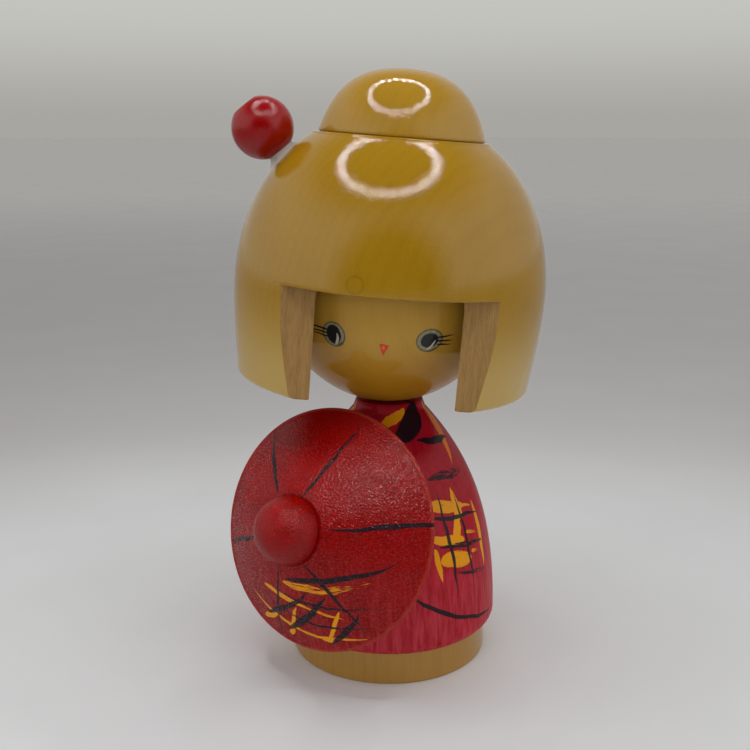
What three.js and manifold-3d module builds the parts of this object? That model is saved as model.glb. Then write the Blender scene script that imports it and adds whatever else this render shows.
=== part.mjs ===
// A turned wooden kokeshi doll with a cut-away hair cap, a bead hairpin and a parasol.
// Millimetres, +Z up. The origin is the centre of the foot's underside and the doll looks along -Y.

import * as THREE from 'three';
import { mergeVertices } from 'three/addons/utils/BufferGeometryUtils.js';
import Module from 'manifold-3d';

const wasm = await Module();
wasm.setup();

// ---------------------------------------------------------------- driving dimensions

const clearance = 0.3;        // between any two pieces that touch or run on each other
const roundSides = 72;        // facets round a large turned piece
const smallSides = 24;        // facets round a bead, knob or stick

const foot = {
  inset: 2.6,                 // inside the body's widest radius
  height: 9.0,
  chamfer: 0.6,
};

const body = {
  radius: 30.1,               // widest, low down
  height: 63.2,               // from the underside to the neck's flat top
  edge: 3.0,                  // rounding under the widest part
  edgeTuck: 2.4,              // how far that rounding tucks in
  neckRadius: 9.2,            // flat top on which the head sits
  neckFlare: 0.75,            // how much the short neck widens downwards
  neckHeight: 2.3,
  tenonRadius: 9.7,           // turned under the body, let into the foot
  tenonLength: 5.0,
};

const head = {
  ballRadius: 30.5,
  seatRadius: 5.5,            // small flat turned on the ball where it sits on the neck
  tilt: 4.4,                  // degrees, the hair leans to the doll's left (+X)
};

const hair = {
  gap: 6.3,                   // from the ball to the bore, level with the ball's centre
  wall: 4.85,                 // from the bore to the outside where the hair is widest
  widestRise: 0.5,            // of the widest place above the ball's centre
  hemTuck: 1.95,              // how far the hem stays inside the widest radius
  hemDrop: 24.5,              // hem below the ball's centre
  hemRound: 1.5,
  roof: 9.2,                  // wood left over the ball
  crownMargin: 0.8,           // flat ring left round the bun
  cutAhead: 1.6,              // saw cut in front of the ball
  fringeRise: 3.6,            // fringe edge above the ball's centre
};

const bun = {
  radius: 22.0,
  height: 17.1,
};

const neckDowel = { radius: 4.0, inBody: 23.0, inBall: 13.7 };
const crownDowel = { radius: 3.0, inBall: 12.0, inBun: 9.7 };

const hairpin = {
  belowCrown: 12.8,           // degrees below the crown's edge, seen from the ball's centre
  azimuth: 4.7,               // degrees forward of the doll's right-hand side (-X)
  beadRadius: 8.1,
  flatRadius: 3.51,           // flat ends round the drilled hole
  standOff: 1.3,              // bead's flat to the hair, filled with glue
  glueRadius: 4.1,
  stickRadius: 1.5,
  stickInHair: 7.0,
  stickRecess: 3.0,           // stick stops this far inside the bead's open end
};

const parasol = {
  yaw: 31.3,                  // degrees towards the doll's right hand (-X)
  elevation: 17.1,            // degrees upwards
  topAboveNeck: 1.3,          // the rim's highest point above the body's flat top
  standOff: 4.5,              // body's surface to the rim's plane
  radius: 31.3,
  rimThickness: 1.4,
  rise: 16.8,                 // rim's plane to the seat of the knob
  bulge: 1.0,                 // how far the cone's side swells
  dish: 3.0,                  // hollow turned in the underside
  knobRadius: 8.6,
  knobSide: 1.0,              // straight part under the knob's dome
  knobUndercut: 0.7,
  knobBore: 6.0,
  stickRadius: 2.5,
  stickInBody: 10.0,
};

// ---------------------------------------------------------------- places that follow

const radians = (degrees) => THREE.MathUtils.degToRad(degrees);

const bodyBottom = foot.height + clearance;
const neckTop = bodyBottom + body.height;
const shoulderTop = neckTop - body.neckHeight;
const ballSeatDepth = Math.sqrt(head.ballRadius ** 2 - head.seatRadius ** 2);
const ballCentre = neckTop + clearance + ballSeatDepth;

const footRadius = body.radius - foot.inset;

const boreRadius = head.ballRadius + hair.gap;
const hairRadius = boreRadius + hair.wall;
const hemRadius = hairRadius - hair.hemTuck;
const faceCut = head.ballRadius + hair.cutAhead;
const hairInnerTop = head.ballRadius + clearance;
const crownRise = hairInnerTop + hair.roof;
const crownRadius = bun.radius + hair.crownMargin;
const bunBottom = crownRise + clearance;
const crownEdge = THREE.MathUtils.radToDeg(Math.atan2(crownRise, crownRadius));
const pinElevation = crownEdge - hairpin.belowCrown;

// ---------------------------------------------------------------- shape helpers

/** Points of a cubic curve in the (radius, height) plane, without the first one. */
function cubic(from, handleA, handleB, to, steps) {
  const ends = [from, handleA, handleB, to].map(([x, y]) => new THREE.Vector2(x, y));
  const curve = new THREE.CubicBezierCurve(...ends);
  return curve.getPoints(steps).slice(1).map((p) => [p.x, p.y]);
}

/** Points of a quarter of an ellipse or less, from one angle to another, ends included. */
function ellipse(cx, cy, rx, ry, startDegrees, endDegrees, steps) {
  const points = [];
  for (let i = 0; i <= steps; i += 1) {
    const angle = radians(startDegrees + ((endDegrees - startDegrees) * i) / steps);
    points.push([cx + rx * Math.cos(angle), cy + ry * Math.sin(angle)]);
  }
  return points;
}

/** A closed solid turned about +Z from an outline that starts and ends on the axis. */
function turned(outline, sides = roundSides) {
  const points = outline.map(([r, z]) => new THREE.Vector2(Math.max(r, 0), z));
  const geometry = new THREE.LatheGeometry(points, sides);
  geometry.rotateX(Math.PI / 2);
  return solid(geometry);
}

/** A plain cylinder along +Z between two heights. */
function rod(radius, low, high, sides = smallSides) {
  return turned([[0, low], [radius, low], [radius, high], [0, high]], sides);
}

/** A three.js geometry as a Manifold solid, moved by an optional matrix. */
function solid(geometry, matrix = null) {
  const moved = geometry.clone();
  if (matrix) moved.applyMatrix4(matrix);
  moved.deleteAttribute('normal');
  moved.deleteAttribute('uv');
  const welded = mergeVertices(moved, 1e-5);
  const corners = welded.index.array;
  const triangles = [];
  for (let i = 0; i < corners.length; i += 3) {
    const [a, b, c] = [corners[i], corners[i + 1], corners[i + 2]];
    if (a !== b && b !== c && c !== a) triangles.push(a, b, c);
  }
  return new wasm.Manifold(new wasm.Mesh({
    numProp: 3,
    vertProperties: new Float32Array(welded.attributes.position.array),
    triVerts: new Uint32Array(triangles),
  }));
}

/** The same solid placed by a three.js matrix. */
function placed(shape, matrix) {
  return shape.transform(matrix.elements);
}

/** A named mesh of a solid, in the colour and finish of its material. */
function piece(name, shape, look) {
  const mesh = shape.getMesh();
  const geometry = new THREE.BufferGeometry();
  geometry.setAttribute('position', new THREE.BufferAttribute(mesh.vertProperties, 3));
  geometry.setIndex(new THREE.BufferAttribute(mesh.triVerts, 1));
  geometry.computeVertexNormals();
  const material = new THREE.MeshStandardMaterial({
    color: look.color, roughness: look.roughness, metalness: 0,
  });
  const result = new THREE.Mesh(geometry, material);
  result.name = name;
  return result;
}

/** How far along a ray from (0, height) at an elevation the ray leaves a turned outline. */
function distanceToOutline(outline, height, elevationDegrees) {
  const dr = Math.cos(radians(elevationDegrees));
  const dz = Math.sin(radians(elevationDegrees));
  let farthest = 0;
  for (let i = 1; i < outline.length; i += 1) {
    const [r0, z0] = outline[i - 1];
    const [r1, z1] = outline[i];
    const side0 = r0 * dz - (z0 - height) * dr;
    const side1 = r1 * dz - (z1 - height) * dr;
    if (side0 * side1 > 0 || side0 === side1) continue;
    const share = side0 / (side0 - side1);
    const r = r0 + (r1 - r0) * share;
    const z = z0 + (z1 - z0) * share;
    farthest = Math.max(farthest, r * dr + (z - height) * dz);
  }
  return farthest;
}

// ---------------------------------------------------------------- looks

const looks = {
  redBody: { color: 0x8e1420, roughness: 0.32 },
  redParasol: { color: 0x8a0d0c, roughness: 0.38 },
  redKnob: { color: 0xa00a06, roughness: 0.3 },
  redBead: { color: 0x9a0306, roughness: 0.18 },
  hairWood: { color: 0xb58c3e, roughness: 0.15 },
  faceWood: { color: 0xb98e50, roughness: 0.3 },
  footWood: { color: 0xa37a3c, roughness: 0.35 },
  plainWood: { color: 0xc9a877, roughness: 0.7 },
  glue: { color: 0xd9d4c8, roughness: 0.12 },
};

// ---------------------------------------------------------------- body and foot

const tenonBottom = bodyBottom - body.tenonLength;
const shoulderRadius = body.neckRadius + body.neckFlare;
const sideBottom = bodyBottom + body.edge;
const sideHeight = shoulderTop - sideBottom;

const bodyOutline = [
  [0, tenonBottom],
  [body.tenonRadius, tenonBottom],
  [body.tenonRadius, bodyBottom],
  ...ellipse(body.radius - body.edgeTuck, sideBottom, body.edgeTuck, body.edge, -90, 0, 4),
  ...cubic(
    [body.radius, sideBottom],
    [body.radius - 0.3, sideBottom + 0.423 * sideHeight],
    [shoulderRadius + 0.7275 * (body.radius - shoulderRadius), sideBottom + 0.7194 * sideHeight],
    [shoulderRadius, shoulderTop],
    14,
  ),
  [body.neckRadius, neckTop],
  [0, neckTop],
];

/** Height at which the parasol's axis leaves the doll's, for its rim to end beside the neck. */
function findAimHeight() {
  const { elevation, standOff, radius, topAboveNeck } = parasol;
  let height = neckTop / 2;
  for (let i = 0; i < 40; i += 1) {
    const out = distanceToOutline(bodyOutline, height, elevation) + standOff;
    height = neckTop + topAboveNeck;
    height -= out * Math.sin(radians(elevation)) + radius * Math.cos(radians(elevation));
  }
  return height;
}

const aimHeight = findAimHeight();

/** Group transform of the parasol: local +Z runs out along its stick. */
function parasolMatrix() {
  const turn = new THREE.Euler(radians(90 - parasol.elevation), 0, radians(-parasol.yaw), 'ZYX');
  const matrix = new THREE.Matrix4().makeRotationFromEuler(turn);
  return matrix.setPosition(0, 0, aimHeight);
}

const bodySurface = distanceToOutline(bodyOutline, aimHeight, parasol.elevation);
const stickInner = bodySurface - parasol.stickInBody;
const neckDowelBottom = neckTop - neckDowel.inBody;

function makeBody() {
  const dowelHole = rod(neckDowel.radius + clearance, neckDowelBottom - clearance, neckTop + 1);
  const stickHole = placed(
    rod(parasol.stickRadius + clearance, stickInner - clearance, body.radius * 2),
    parasolMatrix(),
  );
  return piece('body', turned(bodyOutline).subtract(dowelHole).subtract(stickHole), looks.redBody);
}

function makeFoot() {
  const { height, chamfer } = foot;
  const disc = turned([
    [0, 0],
    [footRadius - chamfer, 0],
    [footRadius, chamfer],
    [footRadius, height],
    [0, height],
  ]);
  const socket = rod(body.tenonRadius + clearance, tenonBottom - clearance, height + 1, roundSides);
  return piece('foot', disc.subtract(socket), looks.footWood);
}

function makeNeckDowel() {
  const top = ballCentre - ballSeatDepth + neckDowel.inBall;
  return piece('neck_dowel', rod(neckDowel.radius, neckDowelBottom, top), looks.plainWood);
}

// ---------------------------------------------------------------- face ball

/** The head's lean, as a matrix about the ball's centre. */
function tiltMatrix() {
  return new THREE.Matrix4().makeRotationY(radians(head.tilt));
}

function makeFaceBall() {
  const seatAngle = THREE.MathUtils.radToDeg(Math.asin(-ballSeatDepth / head.ballRadius));
  const ball = turned([
    [0, -ballSeatDepth],
    ...ellipse(0, 0, head.ballRadius, head.ballRadius, seatAngle, 90, 20),
  ], 56);
  const neckHole = rod(
    neckDowel.radius + clearance,
    -ballSeatDepth - 1,
    neckDowel.inBall + clearance - ballSeatDepth,
  );
  const crownHole = placed(
    rod(
      crownDowel.radius + clearance,
      head.ballRadius - crownDowel.inBall - clearance,
      head.ballRadius + 1,
    ),
    tiltMatrix(),
  );
  return piece('face_ball', ball.subtract(neckHole).subtract(crownHole), looks.faceWood);
}

// ---------------------------------------------------------------- hair, bun and their dowel

const hairSpan = crownRise - hair.widestRise;
const hemSpan = hair.hemDrop + hair.widestRise - hair.hemRound;
const hemTop = hair.hemRound - hair.hemDrop;

const hairOutline = [
  [0, -hair.hemDrop],
  ...ellipse(hemRadius - hair.hemRound, hemTop, hair.hemRound, hair.hemRound, -90, 0, 3),
  ...cubic(
    [hemRadius, hemTop],
    [hemRadius + 0.5 * (hairRadius - hemRadius), hemTop + 0.35 * hemSpan],
    [hairRadius, hair.widestRise - 0.33 * hemSpan],
    [hairRadius, hair.widestRise],
    5,
  ),
  ...cubic(
    [hairRadius, hair.widestRise],
    [hairRadius, hair.widestRise + 0.41 * hairSpan],
    [crownRadius + 0.65 * (hairRadius - crownRadius), hair.widestRise + 0.8 * hairSpan],
    [crownRadius, crownRise],
    12,
  ),
  [0, crownRise],
];

const hairSurface = distanceToOutline(hairOutline, 0, pinElevation);

/** Local +Z of the hairpin runs outwards from the ball's centre, in the tilted hair. */
function hairpinMatrix() {
  const turn = new THREE.Euler(0, radians(pinElevation - 90), radians(hairpin.azimuth), 'ZYX');
  return new THREE.Matrix4().makeRotationFromEuler(turn);
}

function makeHair() {
  const bore = turned([
    [0, -hair.hemDrop - 1],
    [boreRadius, -hair.hemDrop - 1],
    ...ellipse(0, 0, boreRadius, hairInnerTop, 0, 90, 9),
  ]);
  const dowelHole = rod(crownDowel.radius + clearance, head.ballRadius - 1, crownRise + 1);
  const pinHole = placed(
    rod(
      hairpin.stickRadius + clearance,
      hairSurface - hairpin.stickInHair - clearance,
      hairSurface * 1.5,
    ),
    hairpinMatrix(),
  );
  const cutWidth = 3 * hairRadius;
  const cutHeight = 2 * hair.hemDrop + hair.fringeRise;
  const cut = solid(
    new THREE.BoxGeometry(cutWidth, cutWidth, cutHeight),
    new THREE.Matrix4().makeTranslation(
      0,
      -faceCut - cutWidth / 2,
      hair.fringeRise - cutHeight / 2,
    ),
  );
  const shape = turned(hairOutline).subtract(bore).subtract(dowelHole).subtract(pinHole);
  return piece('hair_cap', shape.subtract(cut), looks.hairWood);
}

function makeBun() {
  const dome = turned([
    [0, bunBottom],
    [bun.radius, bunBottom],
    ...cubic(
      [bun.radius, bunBottom],
      [bun.radius * 0.863, bunBottom + bun.height * 0.581],
      [bun.radius * 0.633, bunBottom + bun.height],
      [0, bunBottom + bun.height],
      12,
    ),
  ]);
  const hole = rod(
    crownDowel.radius + clearance,
    bunBottom - 1,
    bunBottom + crownDowel.inBun + clearance,
  );
  return piece('hair_bun', dome.subtract(hole), looks.hairWood);
}

function makeCrownDowel() {
  const low = head.ballRadius - crownDowel.inBall;
  const high = bunBottom + crownDowel.inBun;
  return piece('crown_dowel', rod(crownDowel.radius, low, high), looks.plainWood);
}

// ---------------------------------------------------------------- hairpin

const beadInner = hairSurface + hairpin.standOff;
const beadHalfLength = Math.sqrt(hairpin.beadRadius ** 2 - hairpin.flatRadius ** 2);
const beadCentre = beadInner + beadHalfLength;
const beadOuter = beadCentre + beadHalfLength;

function makeBead() {
  const flatAngle = THREE.MathUtils.radToDeg(Math.asin(beadHalfLength / hairpin.beadRadius));
  const bead = turned([
    [0, beadInner],
    ...ellipse(0, beadCentre, hairpin.beadRadius, hairpin.beadRadius, -flatAngle, flatAngle, 12),
    [0, beadOuter],
  ], 32);
  const hole = rod(hairpin.stickRadius + clearance, beadInner - 1, beadOuter + 1);
  return piece('hairpin_bead', bead.subtract(hole), looks.redBead);
}

function makeHairpinStick() {
  const low = hairSurface - hairpin.stickInHair;
  const high = beadOuter - hairpin.stickRecess;
  return piece('hairpin_stick', rod(hairpin.stickRadius, low, high), looks.plainWood);
}

/** Clear glue squeezed out between the bead's flat end and the hair. */
function makeHairpinGlue() {
  const high = beadInner - clearance;
  const ring = turned([
    [0, high - hairpin.glueRadius],
    [hairpin.glueRadius, high - hairpin.glueRadius],
    [hairpin.glueRadius, high - 0.2 * hairpin.standOff],
    [hairpin.glueRadius * 0.92, high],
    [0, high],
  ]);
  const hole = rod(hairpin.stickRadius + clearance, 0, beadOuter);
  const fatHair = turned(hairOutline.map(([r, z]) => {
    const grow = 1 + clearance / Math.hypot(r, z);
    return [r * grow, z * grow];
  }));
  const hairHere = placed(fatHair, hairpinMatrix().invert());
  return piece('hairpin_glue', ring.subtract(hole).subtract(hairHere), looks.glue);
}

// ---------------------------------------------------------------- parasol

const rimPlane = bodySurface + parasol.standOff;
const knobBottom = rimPlane + parasol.rise + clearance;
const stickOuter = knobBottom + parasol.knobBore - clearance;

function makeCanopy() {
  const { radius, rimThickness, rise, bulge, dish, knobRadius } = parasol;
  const rimRound = rimThickness / 2;
  const lipInner = radius - rimRound;
  const seat = knobRadius + clearance;
  const sideFrom = [lipInner, rimPlane + rimThickness];
  const sideTo = [seat, rimPlane + rise];
  const along = (share) => sideFrom[0] + (sideTo[0] - sideFrom[0]) * share;
  const up = (share) => sideFrom[1] + (sideTo[1] - sideFrom[1]) * share + bulge;
  const underside = [];
  for (let i = 0; i <= 4; i += 1) {
    const share = i / 5;
    underside.push([lipInner * share, rimPlane + dish * (1 - share * share)]);
  }
  const cone = turned([
    ...underside,
    ...ellipse(lipInner, rimPlane + rimRound, rimRound, rimRound, -90, 90, 4),
    ...cubic(sideFrom, [along(0.33), up(0.33)], [along(0.67), up(0.67)], sideTo, 7),
    [0, rimPlane + rise],
  ]);
  const hole = rod(parasol.stickRadius + clearance, rimPlane - 1, knobBottom + 1);
  return piece('parasol_canopy', cone.subtract(hole), looks.redParasol);
}

function makeKnob() {
  const { knobRadius, knobSide, knobUndercut } = parasol;
  const domeBase = knobBottom + knobSide;
  const knob = turned([
    [0, knobBottom],
    [knobRadius - knobUndercut, knobBottom],
    ...ellipse(0, domeBase, knobRadius, knobRadius, 0, 90, 10),
  ], 40);
  const hole = rod(parasol.stickRadius + clearance, knobBottom - 1, stickOuter + clearance);
  return piece('parasol_knob', knob.subtract(hole), looks.redKnob);
}

function makeParasolStick() {
  return piece('parasol_stick', rod(parasol.stickRadius, stickInner, stickOuter), looks.plainWood);
}

// ---------------------------------------------------------------- assembly

const doll = new THREE.Group();
doll.add(makeFoot(), makeBody(), makeNeckDowel());

const turningHead = new THREE.Group();
turningHead.position.set(0, 0, ballCentre);
turningHead.add(makeFaceBall());
doll.add(turningHead);

const tiltedHair = new THREE.Group();
tiltedHair.rotation.y = radians(head.tilt);
tiltedHair.add(makeHair(), makeBun(), makeCrownDowel());
turningHead.add(tiltedHair);

const pin = new THREE.Group();
pin.applyMatrix4(hairpinMatrix());
pin.add(makeBead(), makeHairpinStick(), makeHairpinGlue());
tiltedHair.add(pin);

const openParasol = new THREE.Group();
openParasol.applyMatrix4(parasolMatrix());
openParasol.add(makeCanopy(), makeKnob(), makeParasolStick());
doll.add(openParasol);

export default doll;
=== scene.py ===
import math
from types import SimpleNamespace

import bmesh
import bpy
import numpy as np
from mathutils import Matrix, Vector


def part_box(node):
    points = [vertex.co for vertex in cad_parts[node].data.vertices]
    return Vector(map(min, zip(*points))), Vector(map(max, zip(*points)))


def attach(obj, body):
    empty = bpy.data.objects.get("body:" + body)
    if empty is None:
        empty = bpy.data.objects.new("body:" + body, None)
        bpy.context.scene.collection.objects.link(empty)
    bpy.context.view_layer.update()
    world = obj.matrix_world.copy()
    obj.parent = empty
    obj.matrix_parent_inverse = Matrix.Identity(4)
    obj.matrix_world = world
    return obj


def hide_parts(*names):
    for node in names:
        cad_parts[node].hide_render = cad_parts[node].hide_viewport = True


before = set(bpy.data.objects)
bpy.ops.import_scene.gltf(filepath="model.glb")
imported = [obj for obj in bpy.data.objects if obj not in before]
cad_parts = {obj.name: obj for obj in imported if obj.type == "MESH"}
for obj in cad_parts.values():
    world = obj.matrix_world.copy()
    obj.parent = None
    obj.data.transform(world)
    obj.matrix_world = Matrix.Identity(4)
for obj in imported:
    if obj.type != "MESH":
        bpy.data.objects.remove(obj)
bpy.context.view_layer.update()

# Sizes are in millimetres, in each piece's own turned frame with +Z along its turning axis.
MM = 0.001
STRAIGHT = Matrix.Identity(4)
SHARP_ANGLE = math.radians(34)
CLEARANCE = 0.3

foot_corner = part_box("foot")[1] / MM
body_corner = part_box("body")[1] / MM
FOOT_RADIUS = foot_corner.x
FOOT_HEIGHT = foot_corner.z
FOOT_EDGE = 0.6
BODY_RADIUS = body_corner.x
BODY_EDGE = 2.4
BODY_EDGE_HEIGHT = 3.0
NECK_TOP = body_corner.z
NECK_RADIUS = 9.2
NECK_EDGE = 0.25
SHOULDER_RADIUS = 9.95
SHOULDER_TOP = NECK_TOP - 2.3

BALL_RADIUS = 30.5
BALL_SEAT_RADIUS = 5.5
BALL_SEAT_DEPTH = math.sqrt(BALL_RADIUS**2 - BALL_SEAT_RADIUS**2)
BALL_CENTRE = Vector((0, 0, NECK_TOP + CLEARANCE + BALL_SEAT_DEPTH))
HEAD_TILT = math.radians(4.4)

HAIR_RADIUS = 41.65
HAIR_WIDEST = 0.5
HEM_RADIUS = 39.7
HEM = -24.5
HEM_ROUND = 1.5
BORE_RADIUS = 36.8
BORE_TOP = BALL_RADIUS + CLEARANCE
CROWN = BORE_TOP + 9.2
CROWN_RADIUS = 22.8
CROWN_HOLE = 3.3
CROWN_EDGE = 0.45
FACE_CUT = 32.1
FRINGE = 3.6
CUT_EDGE = 0.4
CUT_EDGE_FADE = 2.0

BUN_RADIUS = 22.0
BUN_HEIGHT = 17.1
BUN_EDGE = 0.6

BEAD_RADIUS = 8.1
BEAD_FLAT = 3.51
BEAD_HOLE = 1.8
BEAD_HOLE_EDGE = 0.5
GLUE_HOLE = 1.7
GLUE_NECK = 3.5
GLUE_SPREAD = 2.1
PIN_ELEVATION = math.degrees(math.atan2(CROWN, CROWN_RADIUS)) - 12.8
PIN_AZIMUTH = 4.7

PARASOL_YAW = math.radians(-31.3)
PARASOL_TILT = math.radians(90 - 17.1)
RIM_RADIUS = 31.3
RIM_THICKNESS = 1.4
CONE_RISE = 16.8
DISH_DEPTH = 3.0
KNOB_RADIUS = 8.6
KNOB_FOOT = 1.0
STICK_RADIUS = 2.5
STICK_HOLE = STICK_RADIUS + CLEARANCE


# ---- outlines

def cubic(start, handle_a, handle_b, end, steps):
    """Points of a cubic curve in the (radius, height) plane, without its first point."""
    a, b, c, d = (np.array(p, float) for p in (start, handle_a, handle_b, end))
    t = np.linspace(0, 1, steps + 1)[1:, None]
    points = a * (1 - t) ** 3 + 3 * b * t * (1 - t) ** 2 + 3 * c * t * t * (1 - t) + d * t**3
    return [tuple(p) for p in points]


def ellipse(centre, half_width, half_height, start, end, steps):
    """Points of an elliptic arc between two angles in degrees, ends included."""
    angles = np.radians(np.linspace(start, end, steps + 1))
    return [
        (centre[0] + half_width * math.cos(a), centre[1] + half_height * math.sin(a))
        for a in angles
    ]


def arc(centre, radius, start, end, steps):
    """Points of a circular arc between two angles in degrees, ends included."""
    return ellipse(centre, radius, radius, start, end, steps)


def circle(radius, height, sides):
    """Points of a level circle about the axis."""
    turns = [2 * math.pi * k / sides for k in range(sides)]
    return [(radius * math.cos(t), radius * math.sin(t), height) for t in turns]


def hair_outline():
    """The hair's outside, from the hem's inner edge up to the crown."""
    hem_top = HEM + HEM_ROUND
    span = HAIR_WIDEST - hem_top
    rise = CROWN - HAIR_WIDEST
    edge = arc((HEM_RADIUS - HEM_ROUND, hem_top), HEM_ROUND, -90, 0, steps=60)
    low = cubic(
        (HEM_RADIUS, hem_top),
        (HEM_RADIUS + 0.5 * (HAIR_RADIUS - HEM_RADIUS), hem_top + 0.35 * span),
        (HAIR_RADIUS, HAIR_WIDEST - 0.33 * span),
        (HAIR_RADIUS, HAIR_WIDEST),
        steps=200,
    )
    high = cubic(
        (HAIR_RADIUS, HAIR_WIDEST),
        (HAIR_RADIUS, HAIR_WIDEST + 0.41 * rise),
        (CROWN_RADIUS + 0.65 * (HAIR_RADIUS - CROWN_RADIUS), HAIR_WIDEST + 0.8 * rise),
        (CROWN_RADIUS, CROWN),
        steps=800,
    )
    high = [point for point in high if point[1] < CROWN - CROWN_EDGE]
    centre = (high[-1][0] - CROWN_EDGE, CROWN - CROWN_EDGE)
    return np.array(edge + low + high + arc(centre, CROWN_EDGE, 5, 90, steps=17))


# ---- meshes

def new_object(name, data):
    """An object at the origin, linked to the scene."""
    thing = bpy.data.objects.new(name, data)
    bpy.context.scene.collection.objects.link(thing)
    return thing


def new_mesh(name, points, faces, matrix):
    """A mesh from points in millimetres in a turned frame."""
    mesh = bpy.data.meshes.new(name)
    mesh.from_pydata([tuple(matrix @ (Vector(p) * MM)) for p in points], [], faces)
    return mesh


def new_piece(name, points, faces, body, slot, replaces, materials, matrix=STRAIGHT, which=None):
    """A smooth piece that rides on a CAD body. which gives each face's material."""
    mesh = new_mesh(name, points, faces, matrix)
    for material in materials:
        mesh.materials.append(material)
    if which is not None:
        mesh.polygons.foreach_set("material_index", which)
    tidy = bmesh.new()
    tidy.from_mesh(mesh)
    bmesh.ops.remove_doubles(tidy, verts=tidy.verts, dist=1e-6)
    bmesh.ops.dissolve_degenerate(tidy, edges=tidy.edges, dist=1e-6)
    bmesh.ops.recalc_face_normals(tidy, faces=tidy.faces)
    tidy.to_mesh(mesh)
    tidy.free()
    mesh.shade_smooth()
    mesh.set_sharp_from_angle(angle=SHARP_ANGLE)
    piece = new_object(name, mesh)
    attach(piece, body)
    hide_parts(*replaces)
    return piece


def lathe(outline, sides, closed=False):
    """Points and faces of an outline turned about +Z. A point on the axis becomes a pole."""
    points = []
    rings = []
    for radius, height in outline:
        first = len(points)
        if radius < 1e-6:
            rings.append([first] * sides)
            points.append((0, 0, height))
        else:
            rings.append(list(range(first, first + sides)))
            points.extend(circle(radius, height, sides))
    pairs = list(zip(rings, rings[1:]))
    if closed:
        pairs.append((rings[-1], rings[0]))
    faces = []
    for low, high in pairs:
        for k in range(sides):
            n = (k + 1) % sides
            faces.append(list(dict.fromkeys([low[k], low[n], high[n], high[k]])))
    return points, [face for face in faces if len(face) > 2]


def turned_piece(name, outline, sides, closed=False, **options):
    """A smooth turned piece."""
    points, faces = lathe(outline, sides, closed)
    return new_piece(name, points, faces, **options)


class Shell:
    """Collects points and faces of a mesh made of several grids."""

    def __init__(self):
        self.points = []
        self.faces = []
        self.which = []

    def row(self, points):
        """Adds points and returns their numbers."""
        first = len(self.points)
        self.points.extend(points)
        return list(range(first, first + len(points)))

    def skin(self, rows, material, closed=False):
        """Quads between successive rows of equally many points."""
        for a, b in zip(rows, rows[1:]):
            last = len(a) if closed else len(a) - 1
            for k in range(last):
                n = (k + 1) % len(a)
                self.faces.append([a[k], a[n], b[n], b[k]])
                self.which.append(material)

    def cap(self, numbers, material):
        """One flat face."""
        self.faces.append(numbers)
        self.which.append(material)


# ---- the sawn hair cap

LACQUER, BARE = 0, 1
FRINGE_FADE = 0.06
BACK_STEPS, SIDE_STEPS, FRONT_STEPS, EDGE_STEPS = 200, 12, 44, 5


def at_azimuth(radius, azimuth, height):
    """A point at an azimuth in radians counted from -Y towards +X."""
    return (radius * math.sin(azimuth), -radius * math.cos(azimuth), height)


def round_the_back(azimuth):
    """Azimuths from one side of the face to the other by way of the back."""
    return np.linspace(azimuth, 2 * math.pi - azimuth, BACK_STEPS + 1)


def across_the_face(azimuth):
    """Azimuths from one side of the face straight to the other."""
    return np.linspace(azimuth, -azimuth, FRONT_STEPS + 1)


def smooth_step(x):
    x = min(max(x, 0.0), 1.0)
    return x * x * (3 - 2 * x)


def bore(z):
    """The radius of the hair's inside: a cylinder that closes in an elliptical dome."""
    return BORE_RADIUS * (1 if z <= 0 else math.sqrt(1 - (z / BORE_TOP) ** 2))


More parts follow.
